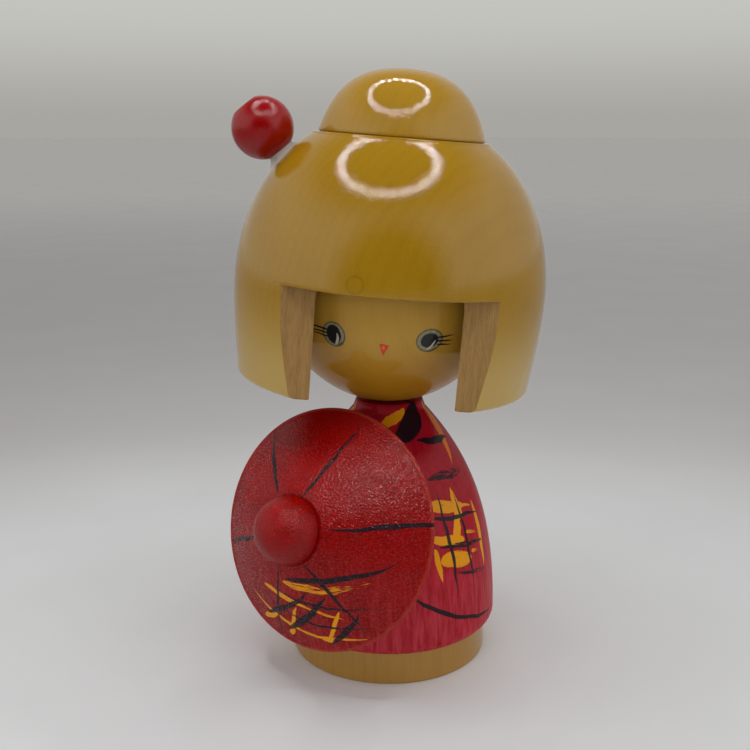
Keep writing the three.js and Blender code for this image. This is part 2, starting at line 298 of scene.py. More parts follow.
class HairCap(Shell):
    """A turned shell whose front is sawn away below the fringe, with eased edges."""

    def __init__(self):
        super().__init__()
        self.outline = hair_outline()
        self.outer_azimuth = math.acos(FACE_CUT / self.outside(FRINGE))
        self.inner_azimuth = math.acos(FACE_CUT / bore(FRINGE))
        side = np.linspace(self.outer_azimuth, self.inner_azimuth, SIDE_STEPS + 1)
        widest, narrowest = math.tan(self.outer_azimuth), math.tan(self.inner_azimuth)
        self.side_shares = (widest - np.tan(side)) / (widest - narrowest)
        middle = across_the_face(self.inner_azimuth)
        self.front = np.concatenate([side, middle[1:], -side[::-1][1:]])
        self.back = round_the_back(self.outer_azimuth)
        self.add_locks()
        self.add_outside()
        self.add_fringe_underside()
        self.add_dome()
        self.add_crown()

    def outside(self, z):
        """The radius of the hair's outside."""
        return float(np.interp(z, self.outline[:, 1], self.outline[:, 0]))

    def ring(self, radius, azimuths, z):
        """One level of points."""
        return self.row([at_azimuth(radius, a, z) for a in azimuths])

    def locks_rows(self, z):
        """One level below the fringe: outer and inner arc, then edge and face of each saw cut."""
        near_hem = min(max((HEM + CUT_EDGE - z) / CUT_EDGE, 0.0), 1.0)
        eased = CUT_EDGE * (1 - math.sqrt(1 - near_hem**2))
        cut = FACE_CUT - eased
        inner = bore(z) + eased
        outer = self.outside(z)
        edge = CUT_EDGE * smooth_step((FRINGE - z) / CUT_EDGE_FADE)
        centre_y = cut - edge
        centre_x = math.sqrt((outer - edge) ** 2 - centre_y**2)
        inner_x = math.sqrt(inner**2 - cut**2)
        first = math.atan2(centre_x, centre_y)
        last = math.atan2(inner_x, cut)
        turns = [first * (1 - k / EDGE_STEPS) for k in range(EDGE_STEPS + 1)]
        side = [(centre_x + edge * math.sin(t), -centre_y - edge * math.cos(t), z) for t in turns]
        flat = [(centre_x + (inner_x - centre_x) * s, -cut, z) for s in self.side_shares]
        rows = [self.ring(outer, round_the_back(first), z), self.ring(inner, round_the_back(last), z)]
        rows += [self.row(side), self.row(flat)]
        rows += [self.row([(-x, y, h) for x, y, h in part]) for part in (side, flat)]
        return rows

    def add_locks(self):
        """The part below the fringe, down to the rounded hem."""
        hem_top = HEM + HEM_ROUND
        fade_start = FRINGE - CUT_EDGE_FADE
        levels = [HEM + HEM_ROUND * (1 - math.cos(math.radians(a))) for a in range(0, 91, 10)]
        levels += list(np.linspace(hem_top, fade_start, 28)[1:])
        levels += list(np.linspace(fade_start, FRINGE, 7)[1:])
        parts = list(zip(*[self.locks_rows(z) for z in levels]))
        for part, material in zip(parts, (LACQUER, BARE) * 3):
            self.skin(list(part), material)
        outer_hem, inner_hem, side_a, flat_a, side_b, flat_b = (part[0] for part in parts)
        self.skin([outer_hem, inner_hem], LACQUER)
        self.cap(side_a + flat_a[1:], LACQUER)
        self.cap(side_b + flat_b[1:], LACQUER)

    def fringe_edge(self, azimuth):
        """The rounding under the fringe, which runs out at both corners."""
        return CUT_EDGE * smooth_step((self.outer_azimuth - abs(azimuth)) / FRINGE_FADE)

    def fringe_edge_rows(self):
        """The rounding under the fringe, from below outwards."""
        rows = []
        for turn in np.radians(np.linspace(-90, 0, 7)):
            points = []
            for azimuth in self.front:
                edge = self.fringe_edge(azimuth)
                radius = self.outside(FRINGE + edge) - edge + edge * math.cos(turn)
                points.append(at_azimuth(radius, azimuth, FRINGE + edge + edge * math.sin(turn)))
            rows.append(self.row(points))
        return rows

    def add_outside(self):
        """The outside above the fringe, back and front."""
        lowest = FRINGE + 0.9
        upper = self.outline[self.outline[:, 1] > lowest]
        picked = np.unique(np.linspace(0, len(upper) - 1, 76).astype(int))
        rings = [(self.outside(lowest), lowest)] + [tuple(upper[k]) for k in picked]
        back_rows = [self.ring(self.outside(FRINGE), self.back, FRINGE)]
        back_rows += [self.ring(r, self.back, z) for r, z in rings]
        self.skin(back_rows, LACQUER)
        front_rows = self.fringe_edge_rows()
        front_rows += [self.ring(r, self.front, z) for r, z in rings]
        self.skin(front_rows, LACQUER)

    def add_fringe_underside(self):
        """The sawn face under the fringe, from the outside in to the bore."""
        rows = []
        for share in np.linspace(0, 1, 7):
            points = []
            for azimuth in self.front:
                edge = self.fringe_edge(azimuth)
                start = self.outside(FRINGE + edge) - edge
                end = max(bore(FRINGE), FACE_CUT / math.cos(azimuth))
                points.append(at_azimuth(start + (end - start) * share, azimuth, FRINGE))
            rows.append(self.row(points))
        self.skin(rows, BARE)

    def add_dome(self):
        """The bored dome over the ball."""
        start = math.asin(FRINGE / BORE_TOP)
        end = math.acos(CROWN_HOLE / BORE_RADIUS)
        for azimuths in (round_the_back(self.inner_azimuth), across_the_face(self.inner_azimuth)):
            rows = []
            for angle in np.linspace(start, end, 22):
                radius = BORE_RADIUS * math.cos(angle)
                rows.append(self.ring(radius, azimuths, BORE_TOP * math.sin(angle)))
            self.skin(rows, BARE)

    def add_crown(self):
        """The flat crown round the dowel's hole."""
        radii = (self.outline[-1][0], 12, CROWN_HOLE)
        for azimuths in (self.back, self.front):
            self.skin([self.ring(r, azimuths, CROWN) for r in radii], LACQUER)


# ---- material graphs

class Graph:
    """A small helper that builds a node graph."""

    def __init__(self, tree):
        self.tree = tree
        tree.nodes.clear()

    def feed(self, socket, value):
        """Links a socket, or sets it when the value is a number or a tuple."""
        if isinstance(value, bpy.types.NodeSocket):
            self.tree.links.new(value, socket)
        else:
            socket.default_value = value

    def node(self, kind, inputs, **settings):
        """A new node with its settings, its inputs fed by name or by number."""
        node = self.tree.nodes.new("ShaderNode" + kind)
        for name, value in settings.items():
            setattr(node, name, value)
        for name, value in inputs.items():
            if value is not None:
                self.feed(node.inputs[name], value)
        return node

    def vector(self, operation, a, b=None, scale=None):
        node = self.node("VectorMath", {0: a, 1: b, "Scale": scale}, operation=operation)
        return node.outputs["Value" if operation in ("DOT_PRODUCT", "LENGTH") else "Vector"]

    def math(self, operation, a, b=None, c=None, clamp=False):
        return self.node("Math", {0: a, 1: b, 2: c}, operation=operation, use_clamp=clamp).outputs[0]

    def times(self, a, b):
        return self.math("MULTIPLY", a, b)

    def split(self, vector):
        return self.node("SeparateXYZ", {0: vector}).outputs

    def join(self, x, y, z=0.0):
        return self.node("CombineXYZ", {0: x, 1: y, 2: z}).outputs[0]

    def remap(self, value, low, high, to_low=0.0, to_high=1.0, smooth=True):
        inputs = {"Value": value, "From Min": low, "From Max": high, "To Min": to_low, "To Max": to_high}
        kind = "SMOOTHSTEP" if smooth else "LINEAR"
        return self.node("MapRange", inputs, interpolation_type=kind, clamp=True).outputs[0]

    def mix(self, factor, a, b):
        """Colour a where the factor is 0, colour b where it is 1."""
        a, b = (c if isinstance(c, bpy.types.NodeSocket) else (*c, 1) for c in (a, b))
        return self.node("Mix", {0: factor, 6: a, 7: b}, data_type="RGBA").outputs[2]


class Paint(Graph):
    """One material's node graph, in the turned frame of its piece."""

    def __init__(self, name, matrix=STRAIGHT):
        self.material = bpy.data.materials.new(name)
        self.material.use_nodes = True
        super().__init__(self.material.node_tree)
        self.shader = self.node("BsdfPrincipled", {})
        self.node("OutputMaterial", {"Surface": self.shader.outputs[0]})
        to_frame = matrix.inverted()
        self.place = self.node("Mapping", {
            "Vector": self.node("TexCoord", {}).outputs["Object"],
            "Location": to_frame.translation / MM,
            "Rotation": to_frame.to_euler(),
            "Scale": (1 / MM,) * 3,
        }).outputs["Vector"]

    def noise(self, vector, size, detail=2.0, roughness=0.5, stretch=(1, 1, 1), distortion=0.0):
        """Noise from about 0 to 1 with features of a size in millimetres, drawn out per axis."""
        factors = tuple(1 / (size * s) for s in stretch)
        inputs = {"Vector": self.vector("MULTIPLY", vector, factors), "Scale": 1.0}
        inputs.update({"Detail": detail, "Roughness": roughness, "Distortion": distortion})
        return self.node("TexNoise", inputs).outputs["Fac"]

    def over(self, color, field, strength, coat):
        """A second colour laid over the first where the field is 1, as opaque as the strength."""
        return self.mix(self.times(field, strength), color, coat)

    def relief(self, height, depth):
        """Bump of a height field from 0 to 1, standing for a depth in millimetres."""
        return self.node("Bump", {"Strength": 1.0, "Distance": depth * MM, "Height": height}).outputs[0]

    def total(self, *terms):
        """The sum of (field, weight) terms."""
        result = 0.0
        for field, weight in terms:
            result = self.math("MULTIPLY_ADD", field, weight, result)
        return result

    def largest(self, fields):
        result = fields[0]
        for field in fields[1:]:
            result = self.math("MAXIMUM", result, field)
        return result

    def finish(self, color, roughness, normal, **others):
        """Feeds the shader. Other sockets are named with underscores, as in Coat_Weight.

        Where there is a coat, it alone carries the gloss.
        """
        values = {"Base Color": color, "Roughness": roughness, "Normal": normal}
        values.update({name.replace("_", " "): value for name, value in others.items()})
        if "Coat Weight" in values:
            values.update({"Coat Normal": normal, "Specular IOR Level": 0.0})
        for name, value in values.items():
            self.feed(self.shader.inputs[name], value)
        return self.material


class Brush:
    """Brush marks on a surface with two flat coordinates in millimetres."""

    def __init__(self, paint, across, up):
        self.paint = paint
        self.flat = paint.join(across, up)
        slow = paint.vector("SCALE", self.flat, scale=0.16)
        wobble = paint.node("TexNoise", {"Vector": slow, "Scale": 1.0, "Detail": 1.0})
        centred = paint.vector("SUBTRACT", wobble.outputs["Color"], (0.5, 0.5, 0.5))
        self.plane = paint.vector("ADD", self.flat, paint.vector("SCALE", centred, scale=1.5))
        self.fray = paint.math("SUBTRACT", paint.noise(self.flat, 0.42), 0.5)

    def mark(self, start, end, width, taper=(1.0, 1.0), bow=0.0, dry=0.0):
        """One stroke from start to end, as a field from 0 to 1.

        The width is that of its widest place, taper thins each end from 0 (blunt) to 1 (pointed),
        bow bends it sideways to its left, and dry breaks it up along the hairs.
        """
        paint = self.paint
        run = np.array(end, float) - np.array(start, float)
        length = float(np.hypot(*run))
        along = run / length
        offset = paint.vector("SUBTRACT", self.plane, (*start, 0))
        past_start = paint.vector("DOT_PRODUCT", offset, (*(along / length), 0))
        across = paint.vector("DOT_PRODUCT", offset, (-along[1], along[0], 0))
        share = paint.math("ADD", past_start, 0.0, clamp=True)
        rest = paint.math("SUBTRACT", 1.0, share)
        if bow:
            across = paint.math("MULTIPLY_ADD", paint.times(share, rest), -4.0 * bow, across)
        powers = [0.15 + 0.6 * t for t in taper]
        ends = (paint.math("POWER", share, powers[0]), paint.math("POWER", rest, powers[1]))
        inside = paint.times(*ends)
        half = paint.times(inside, 0.5 * width / 0.5 ** sum(powers))
        frayed = paint.math("MULTIPLY_ADD", self.fray, 0.22 + 0.1 * width, half)
        frayed = paint.times(frayed, paint.math("GREATER_THAN", inside, 0.02))
        margin = paint.math("SUBTRACT", frayed, paint.math("ABSOLUTE", across))
        field = paint.remap(margin, 0.01, 0.16)
        if dry:
            hairs = paint.join(paint.times(past_start, length / 14.0), across)
            gone = paint.math("MULTIPLY_ADD", share, 0.35 * dry, 0.30 + 0.16 * dry)
            kept = paint.math("SUBTRACT", paint.noise(hairs, 0.3), gone)
            field = paint.times(field, paint.remap(kept, -0.05, 0.06))
        return field

    def marks(self, strokes):
        """The union of several strokes."""
        return self.paint.largest([self.mark(*stroke) for stroke in strokes])

    def blot(self, centre, half_width, half_height, soft):
        """A filled oval, as a field from 0 to 1."""
        paint = self.paint
        offset = paint.vector("SUBTRACT", self.flat, (*centre, 0))
        scaled = paint.vector("MULTIPLY", offset, (1 / half_width, 1 / half_height, 0))
        size = paint.math("MULTIPLY_ADD", self.fray, 0.12, paint.vector("LENGTH", scaled))
        return paint.remap(size, 1.0 + soft, 1.0 - soft)


def grain_fields(paint, seed, ring_size=2.6):
    """Growth rings, fibres along the turning axis, and fine rings left by the turning tool."""
    moved = paint.vector("ADD", paint.place, (seed * 17.0, seed * 9.0, seed * 31.0))
    x, y, z = paint.split(paint.place)
    from_pith = paint.join(paint.math("ADD", x, 58.0), paint.math("ADD", y, -34.0))
    bend = paint.noise(moved, 34, stretch=(1, 1, 2.2))
    wavy = paint.math("MULTIPLY_ADD", bend, 9.0, paint.vector("LENGTH", from_pith))
    wave = paint.math("SINE", paint.times(wavy, 2 * math.pi / ring_size))
    return SimpleNamespace(
        rings=paint.remap(wave, -0.3, 1.0),
        fibres=paint.noise(moved, 0.5, detail=3.0, roughness=0.65, stretch=(1, 1, 16)),
        pores=paint.remap(paint.noise(moved, 0.3, detail=1.0, stretch=(1, 1, 9)), 0.66, 0.76),
        tool=paint.noise(paint.join(0.0, 0.0, z), 0.34, detail=3.0, roughness=0.7),
        clouds=paint.noise(moved, 17),
    )


def micro(paint, size):
    """The fine unevenness of brushed-on lacquer."""
    return paint.noise(paint.place, size, detail=1.0)


def dimmed(color, share):
    return tuple(share * c for c in color)


def knot_rim(paint, fibres, azimuth, height, radius):
    """The dark rim of a small knot in the side of the hair. The azimuth is in degrees."""
    centre = at_azimuth(HAIR_RADIUS, math.radians(azimuth), height)
    away = paint.vector("LENGTH", paint.vector("SUBTRACT", paint.place, centre))
    ragged = paint.math("MULTIPLY_ADD", fibres, 0.7, away)
    rim = paint.math("ABSOLUTE", paint.math("SUBTRACT", ragged, radius))
    return paint.remap(rim, 0.0, 0.5, 0.34, 0.0)


def lacquered_wood(name, pale, dark, seed, matrix=STRAIGHT, knot=None, hem_tint=None, gloss=0.02):
    """Pale turned wood under a thick clear gloss. A knot is its azimuth, height and radius."""
    paint = Paint(name, matrix)
    g = grain_fields(paint, seed)
    shade = paint.total((g.rings, 0.10), (g.fibres, 0.5), (g.clouds, 0.6), (g.tool, 0.3))
    color = paint.mix(paint.remap(shade, 0.42, 1.08, smooth=False), pale, dark)
    color = paint.over(color, g.pores, 0.2, dimmed(dark, 0.6))
    if hem_tint is not None:
        low = paint.remap(paint.split(paint.place)[2], 4.0, HEM + 4, 0.0, 0.9)
        color = paint.mix(low, color, hem_tint)
    if knot is not None:
        color = paint.mix(knot_rim(paint, g.fibres, *knot), color, dimmed(dark, 0.55))
    height = paint.total(
        (g.tool, 0.25), (g.fibres, 0.2), (micro(paint, 0.45), 1.6), (g.clouds, 1.0),
    )
    return paint.finish(
        color, paint.remap(g.fibres, 0.3, 0.7, 0.45, 0.6), paint.relief(height, 0.02),
        Coat_Weight=1.0, Coat_Roughness=gloss, Coat_IOR=1.5,
    )


def bare_wood(name, pale, dark, seed, matrix=STRAIGHT, sawn=True):
    """Unvarnished wood with open pores along the grain."""
    paint = Paint(name, matrix)
    g = grain_fields(paint, seed, ring_size=1.7)
    fine = paint.noise(paint.place, 0.3, detail=3.0, roughness=0.7, stretch=(1, 1, 14), distortion=0.4)
    shade = paint.total((g.rings, 0.08), (fine, 0.9), (g.clouds, 0.5))
    color = paint.mix(paint.remap(shade, 0.45, 1.05, smooth=False), pale, dark)
    color = paint.over(color, g.pores, 0.55, dimmed(dark, 0.45))
    saw = paint.noise(paint.place, 0.5, detail=1.0, stretch=(3, 3, 0.5))
    height = paint.total((fine, 1.0), (saw, 0.4 if sawn else 0.0), (g.pores, -0.8))
    return paint.finish(color, paint.remap(fine, 0.3, 0.7, 0.6, 0.8), paint.relief(height, 0.06))


def red_lacquer(paint, seed, deep, bright, streak=0.5):
    """Red lacquer brushed over wood: its colour, its brush lines and the grain fields."""
    g = grain_fields(paint, seed)
    brushed = paint.noise(paint.place, 1.1, detail=3.0, roughness=0.65, stretch=(1, 1, 9))
    shade = paint.total((brushed, streak), (g.fibres, 0.35), (g.clouds, 0.5))
    color = paint.mix(paint.remap(shade, 0.35, 1.0), deep, bright)
    return color, brushed, g


# ---- painted pieces

BLACK_PAINT = (0.006, 0.007, 0.012)
YELLOW_PAINT = (0.82, 0.33, 0.004)
ORANGE_PAINT = (0.72, 0.2, 0.006)

# A stroke is its start, end, width, taper of both ends, bow and dryness, as in Brush.mark.
SLEEVE_YELLOW = (
    ((12.5, 48.3), (26.2, 46.3), 3.0, (0.1, 0.3), 0, 0.2),
    ((22.6, 51.8), (23.4, 43.0), 3.2, (1.0, 0.2)),
    ((22.2, 44.5), (20.0, 36.5), 3.0, (0.2, 0.2)),
    ((12.0, 40.2), (23.4, 37.9), 2.6, (0.2, 0.3)),
    ((14.6, 34.6), (25.4, 32.4), 4.6, (0.3, 0.4), 0, 0.1),
    ((31.4, 46.4), (31.2, 27.5), 2.1, (0.6, 1.0), 0.5),
    ((24.8, 46.4), (30.2, 45.2), 1.0, (0.3, 0.8)),
    ((24.6, 39.5), (29.6, 38.0), 1.0, (0.3, 0.8), 0, 0.5),
    ((26.0, 34.2), (29.2, 33.4), 1.2, (0.3, 0.8), 0, 0.6),
    ((12.9, 37.6), (14.6, 28.6), 1.7, (0.4, 1.0)),
)

SLEEVE_BLACK = (
    ((16.4, 51.4), (19.4, 23.6), 1.25, (0.8, 1.0)),
    ((23.4, 50.4), (25.4, 24.4), 1.15, (0.9, 1.0)),
    ((33.2, 44.0), (32.8, 29.5), 0.5, (1.0, 1.0)),
    ((12.6, 45.4), (34.0, 42.6), 1.3, (0.5, 1.0)),
    ((14.0, 38.0), (34.0, 35.0), 1.5, (0.7, 0.9), 0, 0.35),
    ((18.8, 30.1), (32.4, 27.2), 1.3, (1.0, 0.8), 0, 0.45),
    ((6.6, 25.6), (36.0, 14.4), 1.45, (0.3, 0.8), -2.9),
    ((14.0, 63.8), (36.5, 62.3), 1.9, (0.8, 0.9)),
    ((14.0, 54.6), (34.0, 53.8), 2.3, (0.8, 0.8), 0.6, 0.5),
)

SLEEVE_ORANGE = ((38.0, 71.4), (28.5, 56.0), 4.6, (0.0, 1.3))
COLLAR_YELLOW = ((-5.4, 67.6), (12.4, 70.9), 2.9, (0.1, 0.2))
COLLAR_BLACK = ((24.6, 71.0), (3.2, 64.2), 6.2, (0.1, 0.3))

PARASOL_RIBS = (
    ((-6.2, 7.6), (-21.5, 23.0), 1.3, (0.5, 0.9)),
    ((1.7, 8.0), (7.4, 28.4), 1.2, (0.5, 0.6), 0, 0.3),
    ((9.6, 1.6), (31.5, 7.2), 1.4, (0.8, 0.2)),
    ((-9.5, -3.5), (-29.5, -9.2), 1.3, (0.4, 0.5), 0, 0.2),
    ((-2.6, -9.2), (-8.9, -31.0), 0.9, (0.5, 0.7)),
    ((5.2, -7.7), (17.4, -22.6), 1.1, (0.4, 0.9), 0.5),
)

PARASOL_BLACK = (
    ((-1.0, -12.3), (25.2, -3.4), 1.5, (0.4, 1.0), -2.0),
    ((-6.0, -15.7), (21.6, -15.2), 0.85, (0.8, 1.0), -2.6),
    ((5.6, -14.4), (-11.4, -23.9), 1.6, (1.0, 0.5), 1.1),
    ((9.9, -14.6), (-4.2, -26.8), 1.9, (1.0, 0.6), 1.0),
    ((16.8, -18.2), (8.2, -27.9), 1.7, (0.9, 0.6), 0.6),
    ((-5.4, -21.3), (21.0, -20.6), 0.75, (0.7, 1.0), -2.2),
    ((-11.5, -16.5), (-5.0, -22.5), 0.45, (0.9, 0.9)),
)

PARASOL_YELLOW = (
    ((-2.4, -13.3), (20.4, -8.7), 2.3, (0.5, 0.9), -2.2, 0.6),
    ((-9.8, -15.9), (5.4, -19.5), 1.4, (0.4, 0.8), 0, 0.25),
    ((-16.4, -18.6), (0.6, -26.3), 1.0, (0.9, 0.3), -1.0),
    ((0.0, -26.2), (18.6, -23.9), 0.9, (0.2, 1.0), -1.2, 0.3),
    ((-13.2, -25.4), (-7.4, -23.7), 1.9, (0.2, 0.4)),
    ((0.6, -19.6), (-4.2, -28.3), 1.2, (0.5, 0.4)),
    ((12.2, -18.4), (7.8, -27.0), 1.2, (0.4, 0.3)),
    ((-4.2, -28.2), (-2.4, -26.2), 1.8, (0.2, 0.2)),
    ((4.4, -19.4), (15.0, -20.4), 0.8, (0.5, 0.9), 0, 0.5),
    ((6.0, -26.7), (9.5, -26.9), 1.7, (0.3, 0.4)),
)

EYES = (
    {
        "centre": (-14.9, -7.7), "ring": (3.35, 3.45), "pupil": (2.1, 2.6),
        "lashes": (
            ((-16.6, -6.2), (-22.4, -5.7)),
            ((-16.6, -7.1), (-22.6, -6.8)),
            ((-16.8, -8.2), (-21.9, -7.5)),
        ),
        "glint": ((-13.9, -7.2), (-14.7, -10.5), 1.0),
        "crease": ((-14.6, -10.9), (-12.6, -9.4), 0.7),
    },
    {
        "centre": (10.6, -9.0), "ring": (3.7, 3.2), "pupil": (2.45, 2.05),
        "lashes": (
            ((12.6, -8.4), (17.9, -7.8)),
            ((12.8, -9.3), (17.9, -9.1)),
            ((13.0, -10.2), (17.8, -10.2)),
        ),
        "glint": ((12.3, -8.9), (9.8, -11.4), 0.85),
        "crease": ((9.8, -12.0), (13.2, -10.6), 0.8),
    },
)
MOUTH = ((-2.9, -9.5), (-0.1, -9.8), (-1.9, -12.9))


def azimuth_field(paint, x, y):
    """The angle round the axis, counted from -Y towards +X."""
    return paint.math("ARCTAN2", x, paint.times(y, -1.0))


def body_material():
    """The kimono: red lacquer with a collar, and sleeves marked with a loose plaid."""
    paint = Paint("kimono_lacquer")
    color, brushed, g = red_lacquer(paint, 3.0, (0.25, 0.002, 0.004), (0.44, 0.008, 0.022), 0.7)
    x, y, z = paint.split(paint.place)
    # Paler pink towards the bottom, along the brush lines.
    paler_below = paint.times(paint.remap(z, 46.0, 14.0), paint.remap(brushed, 0.3, 0.75))
    color = paint.over(color, paler_below, 0.75, (0.56, 0.05, 0.075))
    around = paint.times(azimuth_field(paint, x, y), 28.0)
    sleeves = Brush(paint, paint.math("ABSOLUTE", around), z)
    collar = Brush(paint, around, z)
    orange = sleeves.mark(*SLEEVE_ORANGE)
    yellow = paint.math("MAXIMUM", sleeves.marks(SLEEVE_YELLOW), collar.mark(*COLLAR_YELLOW))
    black = paint.math("MAXIMUM", sleeves.marks(SLEEVE_BLACK), collar.mark(*COLLAR_BLACK))
    color = paint.over(color, orange, 0.92, ORANGE_PAINT)
    color = paint.over(color, yellow, 0.95, YELLOW_PAINT)
    color = paint.over(color, black, 0.96, BLACK_PAINT)
    laid_on = paint.total((yellow, 1.0), (orange, 0.8), (black, 0.6))
    rough = paint.remap(paint.math("MAXIMUM", yellow, black), 0.0, 1.0, 0.26, 0.42)
    height = paint.total((laid_on, 1.2), (brushed, 0.6), (micro(paint, 0.4), 1.4), (g.tool, 0.25))
    return paint.finish(
        color, rough, paint.relief(height, 0.035),
        Coat_Weight=0.35, Coat_Roughness=0.14,
    )


def canopy_red(paint, clouds, streaks, y, outwards, specks):
    """The canopy's red: clouded, paler along its streaks lower down, with a painted rim highlight and
    painted glints.
    """
    shade = paint.total((streaks, 0.2), (clouds, 0.8))
    color = paint.mix(paint.remap(shade, 0.35, 0.95), (0.22, 0.0006, 0.0006), (0.33, 0.0012, 0.0012))
    # Paler along the streaks towards the lower edge.
    paler_below = paint.times(paint.remap(y, 0.0, -24.0), paint.remap(streaks, 0.4, 0.75))
    color = paint.over(color, paler_below, 0.55, (0.42, 0.028, 0.032))
    # Painted highlight: a thin lighter line just inside the rim, all round.
    rim = paint.remap(outwards, RIM_RADIUS - 0.9, RIM_RADIUS - 0.4)
    color = paint.over(color, rim, 0.2, (0.62, 0.10, 0.06))
    # Painted highlight: pale specks that stand for glints of the gloss.
    return paint.over(color, specks, 0.12, (0.50, 0.06, 0.05))


def canopy_material():
    """The parasol: six hand-drawn ribs and a plaid patch on satin red."""
    paint = Paint("parasol_lacquer", PARASOL)
    x, y, z = paint.split(paint.place)
    clouds = grain_fields(paint, 5.0).clouds
    streaks = paint.noise(paint.place, 0.8, detail=3.0, roughness=0.65, stretch=(1, 14, 14))
    # The specks are a painted highlight in the colour, standing for glints, and they also set the coat's
    # weight.
    specks = paint.remap(paint.noise(paint.place, 0.34, detail=1.0), 0.54, 0.62)
    outwards = paint.vector("LENGTH", paint.join(x, y))
    color = canopy_red(paint, clouds, streaks, y, outwards, specks)
    brush = Brush(paint, x, y)
    upper_side = paint.remap(z, RIM_PLANE, RIM_PLANE + 0.8)
    ribs, black, yellow = (
        paint.times(brush.marks(strokes), upper_side)
        for strokes in (PARASOL_RIBS, PARASOL_BLACK, PARASOL_YELLOW)
    )
    dark = paint.math("MAXIMUM", ribs, black)
    color = paint.over(color, yellow, 0.95, YELLOW_PAINT)
    color = paint.over(color, dark, 0.93, BLACK_PAINT)
    height = paint.total((yellow, 1.1), (dark, 0.6), (streaks, 0.3), (micro(paint, 0.5), 5.0))
    return paint.finish(
        color, paint.remap(streaks, 0.3, 0.7, 0.3, 0.42), paint.relief(height, 0.04),
        Coat_Weight=paint.remap(specks, 0.0, 1.0, 0.2, 1.0), Coat_Roughness=0.15,
    )


def red_turning(name, matrix, seed, deep, bright, coat, coat_roughness, unevenness):
    """Plain red lacquer on a small turned piece."""
    paint = Paint(name, matrix)
    color, brushed, g = red_lacquer(paint, seed, deep, bright)
    specks = paint.remap(paint.noise(paint.place, 0.5, detail=1.0), 0.68, 0.76)
    color = paint.over(color, specks, 0.1, (0.4, 0.02, 0.02))
    height = paint.total((brushed, 0.4), (micro(paint, 0.4), unevenness), (g.tool, 0.4))
    return paint.finish(
        color, paint.remap(brushed, 0.3, 0.7, 0.4, 0.5), paint.relief(height, 0.04),
        Coat_Weight=coat, Coat_Roughness=coat_roughness,
    )


def eye_fields(paint, brush):
    """The rings, outlines, black parts and white glints of both eyes."""
    rings, outlines, blacks, glints = [], [], [], []
    for eye in EYES:
        outer = brush.blot(eye["centre"], *eye["ring"], 0.04)
        inner = brush.blot(eye["centre"], *(size - 0.35 for size in eye["ring"]), 0.06)
        rings.append(outer)
        outlines.append(paint.math("SUBTRACT", outer, inner, clamp=True))
        outlines.append(brush.mark(*eye["crease"], bow=-0.3))
        blacks.append(brush.blot(eye["centre"], *eye["pupil"], 0.04))
        blacks.extend(brush.mark(*lash, 0.62, taper=(0.0, 0.5)) for lash in eye["lashes"])
        glints.append(brush.mark(*eye["glint"], taper=(0.7, 0.5), bow=0.35))
    return [paint.largest(fields) for fields in (rings, outlines, blacks, glints)]


def mouth_field(paint, brush):
    """A filled triangle: inside all three of its edges."""
    past_edges = []
    for a, b in zip(MOUTH, MOUTH[1:] + MOUTH[:1]):
        run = np.array(b) - np.array(a)
        outward = np.array([-run[1], run[0]]) / np.hypot(*run)
        along = paint.vector("DOT_PRODUCT", brush.plane, (*outward, 0))
        past_edges.append(paint.math("SUBTRACT", along, float(outward @ np.array(a))))
    return paint.remap(paint.largest(past_edges), 0.12, -0.06)


def face_material():
    """Varnished wood with a pair of painted eyes and a small mouth."""
    paint = Paint("face_varnish", HEAD)
    g = grain_fields(paint, 2.0, ring_size=3.4)
    shade = paint.total((g.rings, 0.06), (g.fibres, 0.5), (g.clouds, 0.5))
    color = paint.mix(paint.remap(shade, 0.35, 0.9), (0.50, 0.285, 0.04), (0.43, 0.23, 0.022))
    x, y, z = paint.split(paint.place)
    # Painted shade: darker, deeper orange towards the chin.
    color = paint.mix(paint.remap(z, -7.0, -25.0, 0.0, 0.85), color, (0.36, 0.15, 0.004))
    latitude = paint.math("ARCSINE", paint.math("DIVIDE", z, BALL_RADIUS))
    across = paint.times(azimuth_field(paint, x, y), BALL_RADIUS)
    brush = Brush(paint, across, paint.times(latitude, BALL_RADIUS))
    ring, outline, black, glint = eye_fields(paint, brush)
    mouth = mouth_field(paint, brush)
    hairs = paint.remap(paint.noise(brush.flat, 0.5), 0.35, 0.65)
    ring_color = paint.mix(hairs, (0.17, 0.175, 0.115), (0.31, 0.29, 0.18))
    color = paint.over(color, ring, 0.9, ring_color)
    color = paint.over(color, outline, 0.75, (0.035, 0.032, 0.016))
    color = paint.over(color, black, 0.97, BLACK_PAINT)
    color = paint.over(color, glint, 0.9, (0.55, 0.53, 0.42))
    color = paint.over(color, mouth, 0.95, (0.60, 0.035, 0.004))
    color = paint.over(color, brush.blot((-1.6, -10.7), 0.42, 0.6, 0.25), 0.6, (0.8, 0.22, 0.05))
    laid_on = paint.total((ring, 0.5), (black, 0.4), (mouth, 0.6))
    height = paint.total(
        (laid_on, 0.8), (g.fibres, 0.3), (micro(paint, 0.5), 0.8), (g.clouds, 0.8),
    )
    return paint.finish(
        color, paint.remap(g.fibres, 0.3, 0.7, 0.32, 0.42), paint.relief(height, 0.02),
        Coat_Weight=0.6, Coat_Roughness=0.14,
    )


def glue_material():
    """Hard clear glue with small bubbles."""
    paint = Paint("clear_glue", PIN)
    bubbles = paint.remap(paint.noise(paint.place, 0.5, detail=1.0), 0.6, 0.72)
    color = paint.mix(bubbles, (0.86, 0.82, 0.72), (0.97, 0.96, 0.93))
    height = paint.total((paint.noise(paint.place, 1.1), 2.0), (bubbles, 0.5))
    rough = paint.remap(bubbles, 0.0, 1.0, 0.08, 0.2)
    return paint.finish(color, rough, paint.relief(height, 0.08), Transmission_Weight=0.4, IOR=1.48)


# ---- places of the turned frames

